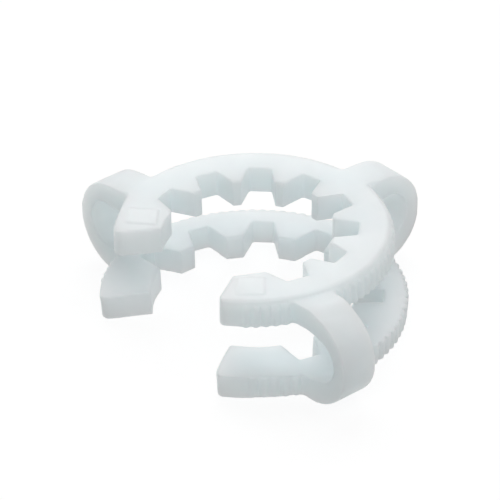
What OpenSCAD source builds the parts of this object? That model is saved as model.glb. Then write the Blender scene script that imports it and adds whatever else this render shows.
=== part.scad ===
// Spring clip for a tapered glass joint, moulded in one piece.
// Two open rings sit one above the other on the Z axis and are joined by three bowed loops.
// The back of the clip is +Y, its mouth opens toward -Y, and it rests on the lower ring.
// Angles are counted from the back (+Y) toward +X.

/* [Rings] */
// Radius of the upper ring's outer wall, between its ribs
upper_wall_r = 20.6; // [19:0.1:21.5]
// Radius of the lower ring's outer wall, between its ribs
lower_wall_r = 22.5; // [21.5:0.1:25]
// Thickness of the upper ring
upper_t = 4.3; // [3.5:0.1:6]
// Thickness of the lower ring
lower_t = 4; // [3:0.1:5]
// Clear height between the two rings
ring_gap = 7.3; // [6:0.1:12]

/* [Teeth] */
// Angle from one tooth to the next
tooth_angle = 30; // [28:0.5:31]
// Teeth on each side of the back one
teeth_each_side = 3; // [2:1:3]
// Radius to the upper tooth tips, at the upper ring's underside
upper_tip_r = 12.1; // [10.5:0.1:13]
// Radius to the lower tooth tips
lower_tip_r = 15.1; // [14:0.1:16]
// Taper of the upper tips, as the change of diameter for each unit of height
tip_taper = 0.1; // [0:0.01:0.14]
// Width of an upper tooth at its tip
upper_tip_w = 1.2; // [0.6:0.1:2]
// Width of a lower tooth at its tip
lower_tip_w = 2.6; // [1.5:0.1:3.5]
// Distance from the axis to the flat floor of an upper notch
upper_floor_r = 15.8; // [14.5:0.1:16.5]
// Distance from the axis to the flat floor of a lower notch
lower_floor_r = 19.2; // [18:0.1:19.8]
// Width of an upper notch's floor
upper_floor_w = 3.3; // [2:0.1:4.5]
// Width of a lower notch's floor
lower_floor_w = 3.2; // [2:0.1:5]

/* [Heads] */
// Angle to the outer corner of a head's end face
head_end_angle = 144; // [140:0.1:150]
// Angle to the inner corner of a head's end face
head_inner_angle = 142; // [138:0.1:146]
// Angle by which an upper head's flank corner lies past the next tooth's place
head_lead_angle = 0.5; // [0:0.1:2]
// Radius to an upper head's flank corner
upper_head_r = 12.5; // [12.3:0.1:14]
// Radius to the inner corner of an upper head's end face
upper_head_end_r = 13.6; // [13:0.1:15]
// Rounding of the upright corner between a head's wall and its end face
head_corner_r = 1.2; // [0.3:0.1:2]
// Height by which a head's plain wall stands out from the rib valleys
head_proud = 0.25; // [0:0.05:0.4]
// Angle from the back to the middle of the plain raised pad on an upper head
pad_angle = 130.5; // [128:0.5:134]
// Distance from the axis to that pad's middle
pad_mid_r = 16.6; // [16:0.1:17]
// Length of that pad, around the ring
pad_l = 4; // [2:0.1:5]
// Width of that pad, across the ring
pad_w = 4.8; // [2:0.1:5.4]
// Height of that pad
pad_h = 0.25; // [0.1:0.05:0.5]

/* [Ribs] */
// Angle from one rib to the next
rib_angle = 4; // [3.5:0.1:6]
// Radius of a rib's round back
rib_r = 0.68; // [0.5:0.02:0.76]
// Height of a rib above the wall
rib_h = 0.55; // [0.3:0.05:0.6]
// Height above the upper ring's underside at which its ribs begin
upper_rib_foot = 0; // [0:0.1:0.5]
// Height above the lower ring's underside at which its ribs begin
lower_rib_foot = 0.4; // [0:0.1:0.8]
// Distance from the upper ring's top face down to its ribs' ends
upper_rib_drop = 0.9; // [0.8:0.1:2]
// Distance from the lower ring's top face down to its ribs' ends
lower_rib_drop = 0.1; // [0.1:0.1:1.5]
// Angle to the upper ring's last rib, beside the head's plain end
upper_last_rib_angle = 132.6; // [128:0.1:134]
// Angle to the lower ring's last rib
lower_last_rib_angle = 130; // [128:0.1:134]

/* [Loops] */
// Width of each loop
loop_w = 6; // [4:0.1:7]
// Distance from the axis to a loop's outermost point
loop_reach = 30.3; // [29:0.1:34]
// Thickness of a loop at its outermost point
loop_crown_t = 2.5; // [1.8:0.1:3]
// Thickness of a loop where it leaves the upper ring
loop_root_t = 3.5; // [3:0.1:4]
// Height by which the loops' tops lie below the upper ring's top face
loop_drop = 0.7; // [0:0.1:1.2]
// Distance of a side loop's middle in front of the axis
side_loop_y = 5.35; // [4.5:0.1:6]
// Fillet between a loop's edge and a ring's wall, seen from above
root_fillet = 1.6; // [0.8:0.1:2]

/* [Edges] */
// Rounding of the upper ring's top rim
upper_rim_r = 1; // [0.5:0.1:1.6]
// Rounding of the lower ring's top rim
lower_rim_r = 0.4; // [0.3:0.1:1.2]
// Rounding of both rings' bottom rims
foot_r = 0.3; // [0.2:0.1:0.8]
// Rounding of the tooth tips' top edges
tip_edge_r = 0.5; // [0.2:0.1:1]

/* [Hidden] */
$fn = 96;

total_h = lower_t + ring_gap + upper_t;
upper_z = lower_t + ring_gap;
head_flank_angle = (teeth_each_side + 1) * tooth_angle + head_lead_angle;
last_notch_angle = (teeth_each_side + 0.5) * tooth_angle;
far = 2 * lower_wall_r;
bite = 0.6; // how far a root or a rib reaches into the wall that carries it
loop_h = total_h - loop_drop;
eye_r = (loop_h - loop_root_t - lower_t) / 2;
eye_z = lower_t + eye_r;
eye_s = loop_reach - loop_crown_t - eye_r;
bow_s = loop_reach - loop_h / 2;

// A point in plan at radius r and angle a, counted from the back
function at(r, a) = [r * sin(a), r * cos(a)];

// Half the angle that a width w takes at radius r
function half_angle(w, r) = asin(w / 2 / r);

// Inner corner of a tooth flank, seen from the middle of the notch beside it
function flank_angle(tip_r, tip_w) = tooth_angle / 2 - half_angle(tip_w, tip_r);

// Distance along a loop at which its root starts inside a wall, at the loop's farther edge
function root_s(wall_r, off) = sqrt(wall_r ^ 2 - (abs(off) + loop_w / 2 + root_fillet) ^ 2) - bite;

module both_sides() {
    children();
    mirror([1, 0, 0]) children();
}

// A notch between two teeth; near_pt and far_pt are its inner corners
module notch(mid_angle, floor_r, floor_w, near_pt, far_pt) {
    half_floor = half_angle(floor_w, floor_r);
    corner_r = floor_r / cos(half_floor);
    polygon([
        [0, 0],
        near_pt,
        at(corner_r, mid_angle - half_floor),
        at(corner_r, mid_angle + half_floor),
        far_pt
    ]);
}

// Whether a rib at angle a on a wall clears the loops' roots
function rib_clear(wall_r, a) =
    let (p = at(wall_r, a), half_root = loop_w / 2 + rib_r)
    (p[1] < 0 || p[0] > half_root) && abs(p[1] + side_loop_y) > half_root;

// The ribs of one ring, from its foot up into its rounded rim, counted back from the head
module ribs(wall_r, t, rib_foot, rib_drop, last_rib_angle) {
    translate([0, 0, rib_foot])
        linear_extrude(t - rib_foot - rib_drop)
            both_sides()
                for (a = [last_rib_angle : -rib_angle : 0])
                    if (rib_clear(wall_r, a))
                        translate(at(wall_r + rib_h - rib_r, a)) circle(rib_r, $fn = 24);
}

// The plain wall of a head, past its last rib
module head_wall(wall_r, last_rib_angle) {
    intersection() {
        circle(wall_r + head_proud, $fn = 180);
        polygon([[0, 0], at(far, last_rib_angle), at(far, head_end_angle + 10)]);
    }
}

// What is cut away in front of one head: from the axis, round the head, to the mouth's middle.
// pts are the head's inner corners, and the last one begins its end face.
module mouth_half(wall_r, pts) {
    r = wall_r + head_proud;
    inner = pts[len(pts) - 1];
    outer = at(r, head_end_angle);
    run = (outer - inner) / norm(outer - inner);
    side = [run[1], -run[0]];          // into the mouth, away from the head
    base = outer - head_corner_r * side;
    along = base * run;
    slide = -along + sqrt(along ^ 2 - base * base + (r - head_corner_r) ^ 2);
    centre = base + slide * run;
    polygon(concat([[0, 0]], pts, [inner + far * run, [0, -far]]));
    difference() {
        polygon([
            centre + head_corner_r * side,
            inner + far * run,
            centre * far / norm(centre),
            centre * r / norm(centre)
        ]);
        translate(centre) circle(head_corner_r, $fn = 48);
    }
}

// Outline of a ring seen from above, without its bore
module ring_plan(wall_r, tip_r, tip_w, floor_r, floor_w, head_pts, last_rib_angle) {
    flank = flank_angle(tip_r, tip_w);
    difference() {
        union() {
            circle(wall_r, $fn = 180);
            both_sides() head_wall(wall_r, last_rib_angle);
        }
        both_sides() {
            for (i = [0.5 : 1 : teeth_each_side])
                notch(i * tooth_angle, floor_r, floor_w,
                    at(tip_r, i * tooth_angle - flank), at(tip_r, i * tooth_angle + flank));
            notch(last_notch_angle, floor_r, floor_w, at(tip_r, last_notch_angle - flank), head_pts[0]);
            mouth_half(wall_r, head_pts);
        }
    }
}

// A solid of revolution with a rounded top rim and a rounded foot
module rim_envelope(r, t, rim_r) {
    rotate_extrude($fn = 180) {
        square([r - rim_r, t]);
        translate([0, foot_r]) square([r, t - rim_r - foot_r]);
        square([r - foot_r, t / 2]);
        translate([r - rim_r, t - rim_r]) circle(rim_r, $fn = 48);
        translate([r - foot_r, foot_r]) circle(foot_r, $fn = 48);
    }
}

// The cut that rounds the top edges of the tooth tips
module tip_flare(tip_r, z) {
    rotate_extrude($fn = 180)
        difference() {
            translate([0, z - tip_edge_r]) square([tip_r + tip_edge_r, 2 * tip_edge_r]);
            translate([tip_r + tip_edge_r, z - tip_edge_r]) circle(tip_edge_r, $fn = 48);
        }
}

// A ring with rounded rims, without its bore
module ring_body(wall_r, t, rim_r, tip_r, tip_w, floor_r, floor_w, head_pts, last_rib_angle) {
    intersection() {
        linear_extrude(t) ring_plan(wall_r, tip_r, tip_w, floor_r, floor_w, head_pts, last_rib_angle);
        rim_envelope(wall_r + head_proud, t, rim_r);
    }
}

module upper_ring() {
    head_pts = [at(upper_head_r, head_flank_angle), at(upper_head_end_r, head_inner_angle)];
    taper_step = tip_taper * upper_t / 2;
    translate([0, 0, upper_z])
        difference() {
            union() {
                ring_body(upper_wall_r, upper_t, upper_rim_r, upper_tip_r, upper_tip_w,
                    upper_floor_r, upper_floor_w, head_pts, upper_last_rib_angle);
                ribs(upper_wall_r, upper_t, upper_rib_foot, upper_rib_drop, upper_last_rib_angle);
            }
            translate([0, 0, -upper_t])
                cylinder(h = 3 * upper_t, r1 = upper_tip_r - taper_step, r2 = upper_tip_r + 2 * taper_step,
                    $fn = 180);
            tip_flare(upper_tip_r + taper_step, upper_t);
        }
}

module lower_ring() {
    flank_end_angle = last_notch_angle + flank_angle(lower_tip_r, lower_tip_w);
    head_pts = [at(lower_tip_r, flank_end_angle), at(lower_tip_r, head_inner_angle)];
    difference() {
        union() {
            ring_body(lower_wall_r, lower_t, lower_rim_r, lower_tip_r, lower_tip_w,
                lower_floor_r, lower_floor_w, head_pts, lower_last_rib_angle);
            ribs(lower_wall_r, lower_t, lower_rib_foot, lower_rib_drop, lower_last_rib_angle);
        }
        translate([0, 0, -lower_t]) cylinder(h = 3 * lower_t, r = lower_tip_r, $fn = 180);
        tip_flare(lower_tip_r, lower_t);
    }
}

// Side view of a loop: distance from the axis against height
module loop_profile(upper_s, lower_s) {
    difference() {
        union() {
            intersection() {
                translate([bow_s, loop_h / 2]) circle(loop_h / 2, $fn = 120);
                translate([bow_s, 0]) square(loop_h);
            }
            translate([upper_s, loop_h - loop_root_t]) square([bow_s - upper_s, loop_root_t]);
            translate([lower_s, 0]) square([bow_s - lower_s, lower_t]);
        }
        translate([eye_s, eye_z]) circle(eye_r, $fn = 96);
        translate([0, lower_t]) square([eye_s, 2 * eye_r]);
    }
}

// Plan of a loop's strip with a fillet to the wall along one of its edges; dir is 1 or -1
module root_corner(wall_r, off, dir) {
    edge_y = off + dir * loop_w / 2;
    c_y = edge_y + dir * root_fillet;
    c_x = sqrt((wall_r + root_fillet) ^ 2 - c_y ^ 2);
    touch = [c_x, c_y] * wall_r / (wall_r + root_fillet);
    difference() {
        polygon([[c_x, edge_y], touch, touch * (wall_r - bite) / wall_r, [root_s(wall_r, off), edge_y]]);
        translate([c_x, c_y]) circle(root_fillet, $fn = 60);
    }
}

module loop_plan(wall_r, off) {
    start = root_s(wall_r, off);
    translate([start, off - loop_w / 2]) square([far, loop_w]);
    root_corner(wall_r, off, 1);
    root_corner(wall_r, off, -1);
}

// A loop that leaves the rings toward +X, with its middle at Y = off
module loop(off) {
    wide = loop_w + 2 * root_fillet;
    intersection() {
        translate([0, off + wide / 2, 0])
            rotate([90, 0, 0])
                linear_extrude(wide)
                    loop_profile(root_s(upper_wall_r, off), root_s(lower_wall_r, off));
        union() {
            linear_extrude(loop_h / 2) loop_plan(lower_wall_r, off);
            translate([0, 0, loop_h / 2]) linear_extrude(loop_h / 2) loop_plan(upper_wall_r, off);
        }
    }
}

// A plain raised pad on top of an upper head
module head_pad() {
    sunk = bite / 2;
    rotate([0, 0, -pad_angle])
        translate([-pad_l / 2, pad_mid_r - pad_w / 2, total_h - sunk]) cube([pad_l, pad_w, pad_h + sunk]);
}

module clip() {
    color("whitesmoke") {
        lower_ring();
        upper_ring();
        both_sides() {
            loop(-side_loop_y);
            head_pad();
        }
        rotate([0, 0, 90]) loop(0);
    }
}

clip();
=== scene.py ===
import math

import bmesh
import bpy
import numpy as np
from mathutils import Matrix, Vector


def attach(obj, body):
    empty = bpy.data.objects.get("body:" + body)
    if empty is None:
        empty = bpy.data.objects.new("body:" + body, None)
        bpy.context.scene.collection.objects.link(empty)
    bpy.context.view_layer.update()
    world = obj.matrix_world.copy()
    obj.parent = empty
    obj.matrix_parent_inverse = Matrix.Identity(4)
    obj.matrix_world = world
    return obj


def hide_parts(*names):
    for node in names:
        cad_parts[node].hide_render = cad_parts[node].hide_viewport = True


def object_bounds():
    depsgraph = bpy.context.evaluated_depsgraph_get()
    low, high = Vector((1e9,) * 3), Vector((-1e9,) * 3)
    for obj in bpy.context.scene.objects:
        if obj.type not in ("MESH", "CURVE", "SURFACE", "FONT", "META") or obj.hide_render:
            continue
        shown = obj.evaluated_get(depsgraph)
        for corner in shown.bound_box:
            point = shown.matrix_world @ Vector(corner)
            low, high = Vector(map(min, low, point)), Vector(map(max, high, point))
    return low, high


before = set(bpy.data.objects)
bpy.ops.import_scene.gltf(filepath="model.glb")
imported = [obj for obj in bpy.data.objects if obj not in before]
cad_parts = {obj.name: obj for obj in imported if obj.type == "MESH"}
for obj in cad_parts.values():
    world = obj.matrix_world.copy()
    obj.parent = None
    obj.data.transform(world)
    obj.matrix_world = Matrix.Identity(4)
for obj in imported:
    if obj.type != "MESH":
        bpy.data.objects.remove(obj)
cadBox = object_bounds()
print("frame loaded:", sorted(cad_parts))

scene = bpy.context.scene
mm = 0.001


clipForm = {                     # lengths in mm, angles in degrees
    "weld": 0.0005,              # corners closer than this are one
    "grid": 0.15,                # size of the cells the moulding is fused on
    "edgePasses": 10,            # smoothing passes that round every edge
    "edgePull": 0.5,             # how far each of them goes
    "ribShare": 0.7,             # how much of that rounding the grip ribs get
    "triangles": 180000,         # most triangles in the finished piece

    "ringSplit": 7.5,            # the height between the two rings
    "upperTop": 15.6,            # the rings' top faces
    "lowerTop": 4.0,
    "upperWall": 20.6,           # the outer walls' radii between the ribs
    "lowerWall": 22.5,

    "ribStart": (-0.45, -0.15),  # out from the wall, where the ribs' zone begins
    "ribEnd": (0.7, 0.9),        # and where it ends
    "ribFade": (1.9, 0.9),       # below the highest point, where the upper ribs sink into the rim
    "ribSink": 0.75,             # how much of their height they lose there, as a share
    "valleyFill": 0.3,           # how much the lower rim fills the valleys between its ribs
    "valleyDepth": 2.0,          # how far down from the top face
    "valleyFront": (8.0, 0.0),   # the places along Y where the filling begins and is full

    "sideLoopY": -5.35,          # the middle of the side loops
    "loopEdge": (3.4, 3.8),      # from a loop's middle, where its fillets end and the ribs' zone begins
    "rootDrop": 0.7,             # how far the rear and left loops' tops fall from the upper rim
    "rootFall": (19.7, 25.0),    # the radii between which they fall
    "rootFade": (22.0, 25.0),    # the radii between which the loops' own tops take over
    "rootEdge": (2.6, 3.4),      # from a loop's middle, where it fades
    "rootDepth": (1.5, 0.8),     # below the top face, where it begins and is full

    # The slight warp: the side of the axis (-1 left, 1 right, 0 both), the heights that it is kept
    # between, the heights between which it grows, the way in which it grows and from which place to
    # which, and the full shift.
    "warp": {
        "rearLoop": (0, (-1, 16), (2.0, 12.0), (0, 1), (20.0, 25.0), (0.0, 0.22, 0.34)),
        "rightLoop": (1, (-1, 16), (-1.0, 0.0), (1, 0), (21.0, 27.0), (-0.15, 0.0, 0.0)),
        "upperLeftHead": (-1, (6.5, 16), (8.0, 10.0), (0, -1), (7.0, 13.0), (0.43, 0.36, 0.0)),
        "upperRightHead": (1, (6.5, 16), (8.0, 10.0), (0, -1), (7.0, 15.0), (0.04, 0.0, 0.0)),
        "lowerLeftHead": (-1, (-1, 7.5), (6.5, 5.0), (0, -1), (7.0, 15.0), (-0.18, 0.35, 0.0)),
        "lowerRightHead": (1, (-1, 7.5), (6.5, 5.0), (0, -1), (7.0, 15.0), (-0.12, -0.08, 0.42)),
        "lowerRightTop": (1, (-1, 7.5), (1.0, 3.5), (0, -1), (7.0, 15.0), (0.0, 0.0, 0.16)),
        "lowerFarTop": (0, (-1, 7.5), (1.0, 3.5), (0, 1), (0.0, 12.0), (0.0, 0.0, -0.12)),
    },

    # The slight twist: the heights that it is kept between, the section's middle (radius and height),
    # the way in which it grows and from which place to which, and the angle by which the inner edge
    # is raised.
    "twist": {
        "lowerRight": ((-1, 7.5), (19.5, 2.0), (1, 0), (4.0, 14.0), 5.5),
        "lowerLeftHead": ((-1, 7.5), (19.5, 2.0), (-1, -1), (12.0, 25.0), 3.0),
        "upperRightHead": ((6.5, 16), (17.5, 13.5), (1, -1), (12.0, 25.0), -4.0),
    },
    "twistFade": (23.0, 26.0),   # the radii between which it dies out
}


def applyModifiers(piece):
    scene.view_layers[0].update()
    graph = bpy.context.evaluated_depsgraph_get()
    made = bpy.data.meshes.new_from_object(piece.evaluated_get(graph))
    made.name = piece.name
    old = piece.data
    piece.modifiers.clear()
    piece.data = made
    bpy.data.meshes.remove(old)


def weldedCopy(node, name, weld):
    mesh = node.data.copy()
    form = bmesh.new()
    form.from_mesh(mesh)
    bmesh.ops.scale(form, vec=(1 / mm,) * 3, verts=form.verts)     # the work below is in millimetres
    bmesh.ops.remove_doubles(form, verts=form.verts, dist=weld)
    form.to_mesh(mesh)
    form.free()
    mesh.name = name
    piece = bpy.data.objects.new(name, mesh)
    scene.collection.objects.link(piece)
    return piece


def vertexArray(mesh):
    co = np.empty(len(mesh.vertices) * 3, np.float32)
    mesh.vertices.foreach_get("co", co)
    return co.reshape(-1, 3).astype(float)


def ramp(value, low, high):
    t = np.clip((value - low) / (high - low), 0, 1)
    return t * t * (3 - 2 * t)


def axisRadius(co):
    return np.hypot(co[:, 0], co[:, 1])


def setGroup(piece, name, weights, levels=20):
    group = piece.vertex_groups.new(name=name)
    steps = np.round(np.clip(weights, 0, 1) * levels).astype(int)
    for step in range(1, levels + 1):
        group.add(np.nonzero(steps == step)[0].tolist(), step / levels, "REPLACE")


def atRear(co):
    return co[:, 1] > np.abs(co[:, 0])


def acrossLoops(co, form):
    # how far each point is from the middle of the loop nearest to it
    return np.where(atRear(co), np.abs(co[:, 0]), np.abs(co[:, 1] - form["sideLoopY"]))


def ribsMask(co, form):
    wall = np.where(co[:, 2] > form["ringSplit"], form["upperWall"], form["lowerWall"])
    outward = axisRadius(co) - wall
    mask = ramp(outward, *form["ribStart"]) * ramp(acrossLoops(co, form), *form["loopEdge"])
    return mask * (1 - ramp(outward, *form["ribEnd"]))


def sinkRibs(co, form, nearRibs):
    # the upper ribs lose their height in the rounded rim, and the lower rim fills its ribs' valleys
    radius = axisRadius(co)
    top = co[:, 2].max()
    start, end = form["ribFade"]
    proud = np.clip(radius - form["upperWall"], 0, None)
    sunk = proud * ramp(co[:, 2], top - start, top - end) * nearRibs * form["ribSink"]
    fill, rim = form["valleyFill"], form["lowerTop"]
    short = np.clip(form["lowerWall"] + fill - radius, 0, fill)
    filled = ramp(co[:, 2], rim - form["valleyDepth"], rim) * ramp(co[:, 1], *form["valleyFront"])
    sunk -= short * filled * nearRibs * (co[:, 2] < form["ringSplit"])
    co[:, :2] *= ((radius - sunk) / radius)[:, None]


def blendRoots(co, form):
    # the upper rim runs into the tops of the rear and left loops without a line
    radius = axisRadius(co)
    top = form["upperTop"]
    start, full = form["rootDepth"]
    level = top - form["rootDrop"] * ramp(radius, *form["rootFall"])
    share = (1 - ramp(acrossLoops(co, form), *form["rootEdge"])) * (atRear(co) | (co[:, 0] < 0))
    share *= ramp(co[:, 2], top - start, top - full) * (1 - ramp(radius, *form["rootFade"]))
    co[:, 2] += np.clip(level - co[:, 2], 0, None) * share


def growth(co, kept, way, along):
    share = ramp(co[:, 0] * way[0] + co[:, 1] * way[1], *along)
    return share * ((co[:, 2] >= kept[0]) & (co[:, 2] < kept[1]))


def warp(co, form):
    for side, kept, heights, way, along, shift in form["warp"].values():
        share = growth(co, kept, way, along) * ramp(co[:, 2], *heights)
        if side:
            share *= co[:, 0] * side > 0
        co += share[:, None] * np.array(shift)


def twist(co, form):
    for kept, middle, way, along, angle in form["twist"].values():
        radius = axisRadius(co)
        share = growth(co, kept, way, along) * (1 - ramp(radius, *form["twistFade"])) * math.radians(angle)
        rise, run = co[:, 2] - middle[1], radius - middle[0]
        co[:, :2] *= (1 + share * rise / radius)[:, None]
        co[:, 2] -= share * run
    co[:, 2] = np.clip(co[:, 2], 0, None)     # nothing goes below the floor


def buildClip(form):
    piece = weldedCopy(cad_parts["clip"], "jointClip", form["weld"])
    fuse = piece.modifiers.new("fuse", "REMESH")
    fuse.mode = "VOXEL"
    fuse.voxel_size = form["grid"]
    fuse.use_smooth_shade = True
    applyModifiers(piece)
    print("clip fused:", len(piece.data.vertices), "vertices")

    co = vertexArray(piece.data)
    nearRibs = ribsMask(co, form)
    setGroup(piece, "edges", 1 - (1 - form["ribShare"]) * nearRibs)
    sinkRibs(co, form, nearRibs)
    blendRoots(co, form)
    warp(co, form)
    twist(co, form)
    piece.data.vertices.foreach_set("co", co.astype(np.float32).ravel())
    rounding = piece.modifiers.new("roundEdges", "SMOOTH")
    rounding.factor = form["edgePull"]
    rounding.iterations = form["edgePasses"]
    rounding.vertex_group = "edges"
    applyModifiers(piece)

    quads = len(piece.data.polygons)
    thin = piece.modifiers.new("thin", "DECIMATE")
    thin.ratio = form["triangles"] / (2 * quads)
    applyModifiers(piece)
    piece.vertex_groups.clear()
    piece.data.transform(Matrix.Scale(mm, 4))
    piece.data.polygons.foreach_set("use_smooth", [True] * len(piece.data.polygons))
    piece.data.update()
    print("clip finished:", len(piece.data.polygons), "faces")
    return piece


clip = buildClip(clipForm)
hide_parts("clip")
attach(clip, "root")


def addNode(tree, kind, at=(0, 0), **values):
    node = tree.nodes.new(kind)
    node.location = at
    for key, value in values.items():
        if key in node.inputs:
            node.inputs[key].default_value = value
        else:
            setattr(node, key, value)
    return node


def setInputs(node, values):
    for key, value in values.items():
        node.inputs[key].default_value = value


def addNoise(tree, at, grain):
    scale, detail, roughness = grain
    return addNode(tree, "ShaderNodeTexNoise", at, Scale=scale, Detail=detail, Roughness=roughness)


def emptyMaterial(name):
    made = bpy.data.materials.new(name)
    made.use_nodes = True
    made.node_tree.nodes.clear()
    return made


plasticLook = {
    "pale": (0.785, 0.895, 0.925, 1),
    "cloud": (0.745, 0.86, 0.895, 1),     # where the plastic is a little denser
    "cloudRange": (0.38, 0.68),           # of the noise, from pale to cloud
    "roughness": 0.42,
    "glossRange": (0.3, 0.7),             # of the noise, over which the roughness changes
    "glossSpread": (-0.05, 0.07),         # and by how much
    "grain": 0.018,                       # mm, depth of the mould's grain
    "grainStrength": 0.35,
    "flowInGrain": 0.35,                  # share of the broader relief in it
    "clouds": (90.0, 3.0, 0.55),          # noises: scale per metre, detail, roughness
    "flow": (420.0, 4.0, 0.6),
    "fine": (6500.0, 2.0, 0.6),
    "ior": 1.48,
    "bleed": 1.0,                         # share of the light that goes under the surface
    "bleedDepth": 14.0,                   # mm, how far it travels there
    "bleedColour": (0.9, 1.06, 1.0),      # share of that for red, green and blue
}


def naturalPlastic(look):
    made = emptyMaterial("naturalPlastic")
    tree = made.node_tree
    link = tree.links.new
    place = addNode(tree, "ShaderNodeTexCoord", (-1300, 0))
    shader = addNode(tree, "ShaderNodeBsdfPrincipled", (0, 0))
    out = addNode(tree, "ShaderNodeOutputMaterial", (320, 0))
    link(shader.outputs["BSDF"], out.inputs["Surface"])

    clouds = addNoise(tree, (-1000, 300), look["clouds"])
    flow = addNoise(tree, (-1000, 0), look["flow"])
    fine = addNoise(tree, (-1000, -300), look["fine"])
    for texture in (clouds, flow, fine):
        link(place.outputs["Object"], texture.inputs["Vector"])

    tint = addNode(tree, "ShaderNodeMix", (-500, 300), data_type="RGBA")
    setInputs(tint, {6: look["pale"], 7: look["cloud"]})
    spread = addNode(tree, "ShaderNodeMapRange", (-760, 300))
    setInputs(spread, {"From Min": look["cloudRange"][0], "From Max": look["cloudRange"][1]})
    link(clouds.outputs["Fac"], spread.inputs["Value"])
    link(spread.outputs["Result"], tint.inputs[0])
    link(tint.outputs[2], shader.inputs["Base Color"])

    gloss = addNode(tree, "ShaderNodeMapRange", (-500, 20))
    setInputs(gloss, {
        "From Min": look["glossRange"][0],
        "From Max": look["glossRange"][1],
        "To Min": look["roughness"] + look["glossSpread"][0],
        "To Max": look["roughness"] + look["glossSpread"][1],
    })
    link(flow.outputs["Fac"], gloss.inputs["Value"])
    link(gloss.outputs["Result"], shader.inputs["Roughness"])

    relief = addNode(tree, "ShaderNodeMix", (-620, -260), data_type="FLOAT")
    setInputs(relief, {0: look["flowInGrain"]})
    link(fine.outputs["Fac"], relief.inputs[2])
    link(flow.outputs["Fac"], relief.inputs[3])
    bump = addNode(tree, "ShaderNodeBump", (-340, -260))
    setInputs(bump, {"Strength": look["grainStrength"], "Distance": look["grain"] * mm})
    link(relief.outputs[0], bump.inputs["Height"])
    link(bump.outputs["Normal"], shader.inputs["Normal"])

    setInputs(shader, {
        "IOR": look["ior"],
        "Subsurface Weight": look["bleed"],
        "Subsurface Radius": look["bleedColour"],
        "Subsurface Scale": look["bleedDepth"] * mm,
    })
    return made


clip.data.materials.clear()
clip.data.materials.append(naturalPlastic(plasticLook))
print("plastic made")


studio = {
    "floorSize": 6.0,            # m
    "floorShade": 0.15,
    "floorGrain": 0.004,         # how much that shade changes
    "floorNoise": (1200.0, 3.0, 0.5),     # scale per metre, detail, roughness
    "floorRoughness": 0.9,
    "floorShine": 0.0,
    "floorGlow": 0.47,           # the light table's own light
    "floorWhite": 0.885,         # what the camera sees of it, so that it shows white
    "sky": 0.03,                 # the sky's light on the clip
    "skyWhite": 1.0,             # the same for the sky
    "boxDistance": 0.80,         # m, from the clip's middle
    "boxSize": 0.70,             # m
    "softboxes": [               # name, azimuth, elevation, watts; azimuth 0 is in front of the mouth
        ("frontBox", 50, 50, 2.5),
        ("rightBox", 140, 50, 1.65),
        ("backBox", 230, 50, 3.2),
        ("lowBox", 275, 20, 1.8),
    ],
}


def direction(azimuth, elevation):
    az, el = math.radians(azimuth), math.radians(elevation)
    return Vector((math.sin(az) * math.cos(el), -math.cos(az) * math.cos(el), math.sin(el)))


def seenStrength(tree, at, plain, seen):
    # one strength for the light on the clip, and another for what the camera, gloss and glass see
    path = addNode(tree, "ShaderNodeLightPath", (at[0] - 700, at[1]))
    glossy = addNode(tree, "ShaderNodeMath", (at[0] - 500, at[1]), operation="MAXIMUM")
    clear = addNode(tree, "ShaderNodeMath", (at[0] - 300, at[1]), operation="MAXIMUM")
    strength = addNode(tree, "ShaderNodeMix", at, data_type="FLOAT")
    setInputs(strength, {2: plain, 3: seen})
    tree.links.new(path.outputs["Is Camera Ray"], glossy.inputs[0])
    tree.links.new(path.outputs["Is Glossy Ray"], glossy.inputs[1])
    tree.links.new(glossy.outputs[0], clear.inputs[0])
    tree.links.new(path.outputs["Is Transmission Ray"], clear.inputs[1])
    tree.links.new(clear.outputs[0], strength.inputs[0])
    return strength.outputs[0]


def floorMaterial(values):
    made = emptyMaterial("paleFloor")
    tree = made.node_tree
    link = tree.links.new
    matt = addNode(tree, "ShaderNodeBsdfPrincipled", (0, 200), Roughness=values["floorRoughness"])
    setInputs(matt, {"Specular IOR Level": values["floorShine"]})
    paper = addNoise(tree, (-500, 200), values["floorNoise"])
    tone = addNode(tree, "ShaderNodeMapRange", (-300, 200))
    setInputs(tone, {
        "To Min": values["floorShade"] - values["floorGrain"],
        "To Max": values["floorShade"] + values["floorGrain"],
    })
    shade = addNode(tree, "ShaderNodeCombineColor", (-120, 200))
    link(paper.outputs["Fac"], tone.inputs["Value"])
    for channel in ("Red", "Green", "Blue"):
        link(tone.outputs["Result"], shade.inputs[channel])
    link(shade.outputs["Color"], matt.inputs["Base Color"])
    glow = addNode(tree, "ShaderNodeEmission", (0, -100))
    link(seenStrength(tree, (-200, -100), values["floorGlow"], values["floorWhite"]), glow.inputs["Strength"])
    both = addNode(tree, "ShaderNodeAddShader", (300, 100))
    out = addNode(tree, "ShaderNodeOutputMaterial", (500, 100))
    link(matt.outputs["BSDF"], both.inputs[0])
    link(glow.outputs["Emission"], both.inputs[1])
    link(both.outputs["Shader"], out.inputs["Surface"])
    return made


def buildFloor(values):
    half = values["floorSize"] / 2
    corners = [(-half, -half, 0), (half, -half, 0), (half, half, 0), (-half, half, 0)]
    mesh = bpy.data.meshes.new("floor")
    mesh.from_pydata(corners, [], [(0, 1, 2, 3)])
    floor = bpy.data.objects.new("floor", mesh)
    floor.location.z = cadBox[0].z
    scene.collection.objects.link(floor)
    floor.data.materials.append(floorMaterial(values))


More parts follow.
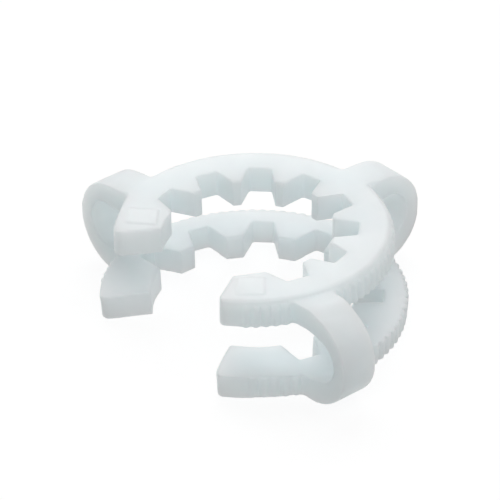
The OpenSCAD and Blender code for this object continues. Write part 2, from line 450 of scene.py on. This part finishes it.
def buildSky(values):
    world = bpy.data.worlds.new("studio")
    scene.world = world
    world.use_nodes = True
    tree = world.node_tree
    tree.nodes.clear()
    back = addNode(tree, "ShaderNodeBackground", (200, 0), Color=(1, 1, 1, 1))
    out = addNode(tree, "ShaderNodeOutputWorld", (400, 0))
    tree.links.new(seenStrength(tree, (0, -100), values["sky"], values["skyWhite"]), back.inputs["Strength"])
    tree.links.new(back.outputs["Background"], out.inputs["Surface"])


def buildSoftboxes(values):
    middle = (cadBox[0] + cadBox[1]) / 2
    for name, azimuth, elevation, watts in values["softboxes"]:
        outward = direction(azimuth, elevation)
        lamp = bpy.data.lights.new(name, "AREA")
        lamp.shape = "DISK"
        lamp.size = values["boxSize"]
        lamp.energy = watts
        box = bpy.data.objects.new(name, lamp)
        box.location = middle + outward * values["boxDistance"]
        box.rotation_mode = "QUATERNION"
        box.rotation_quaternion = (-outward).to_track_quat("-Z", "Y")
        scene.collection.objects.link(box)


cameraPlace = {
    "azimuth": 50.40,               # degrees, 0 looks along +Y and 90 along -X
    "elevation": 32.61,
    "roll": -1.16,
    "distance": 0.6250,             # m, from the point below
    "focus": (0.0, 0.0, 0.0156),    # on the axis, at the upper ring's top
    "offset": (0.00032, -0.00595),  # right and down, as the tangent of the angle to that point
    "lens": 306.1,                  # mm, on a sensor of the width below
    "sensor": 36,
    "depth": (0.01, 50),            # m, the nearest and farthest that it sees
}


def buildCamera(values):
    back = direction(values["azimuth"], values["elevation"])
    right = (-back).cross(Vector((0, 0, 1))).normalized()
    down = -right.cross(-back)
    roll = Matrix.Rotation(math.radians(values["roll"]), 3, "Z")
    aim = Vector((*values["offset"], 1)).normalized()
    offset = Vector((0, 0, 1)).rotation_difference(aim).to_matrix()
    rows = offset @ (roll @ Matrix((right, down, -back)))
    axes = Matrix((rows[0], -rows[1], -rows[2])).transposed()

    camera = bpy.data.cameras.new("camera")
    camera.lens = values["lens"]
    camera.sensor_width = values["sensor"]
    camera.clip_start, camera.clip_end = values["depth"]
    rig = bpy.data.objects.new("camera", camera)
    rig.matrix_world = Matrix.Translation(Vector(values["focus"]) + back * values["distance"]) @ axes.to_4x4()
    scene.collection.objects.link(rig)
    scene.camera = rig


buildFloor(studio)
buildSky(studio)
buildSoftboxes(studio)
buildCamera(cameraPlace)
scene.view_settings.view_transform = "Standard"
print("studio and camera set")
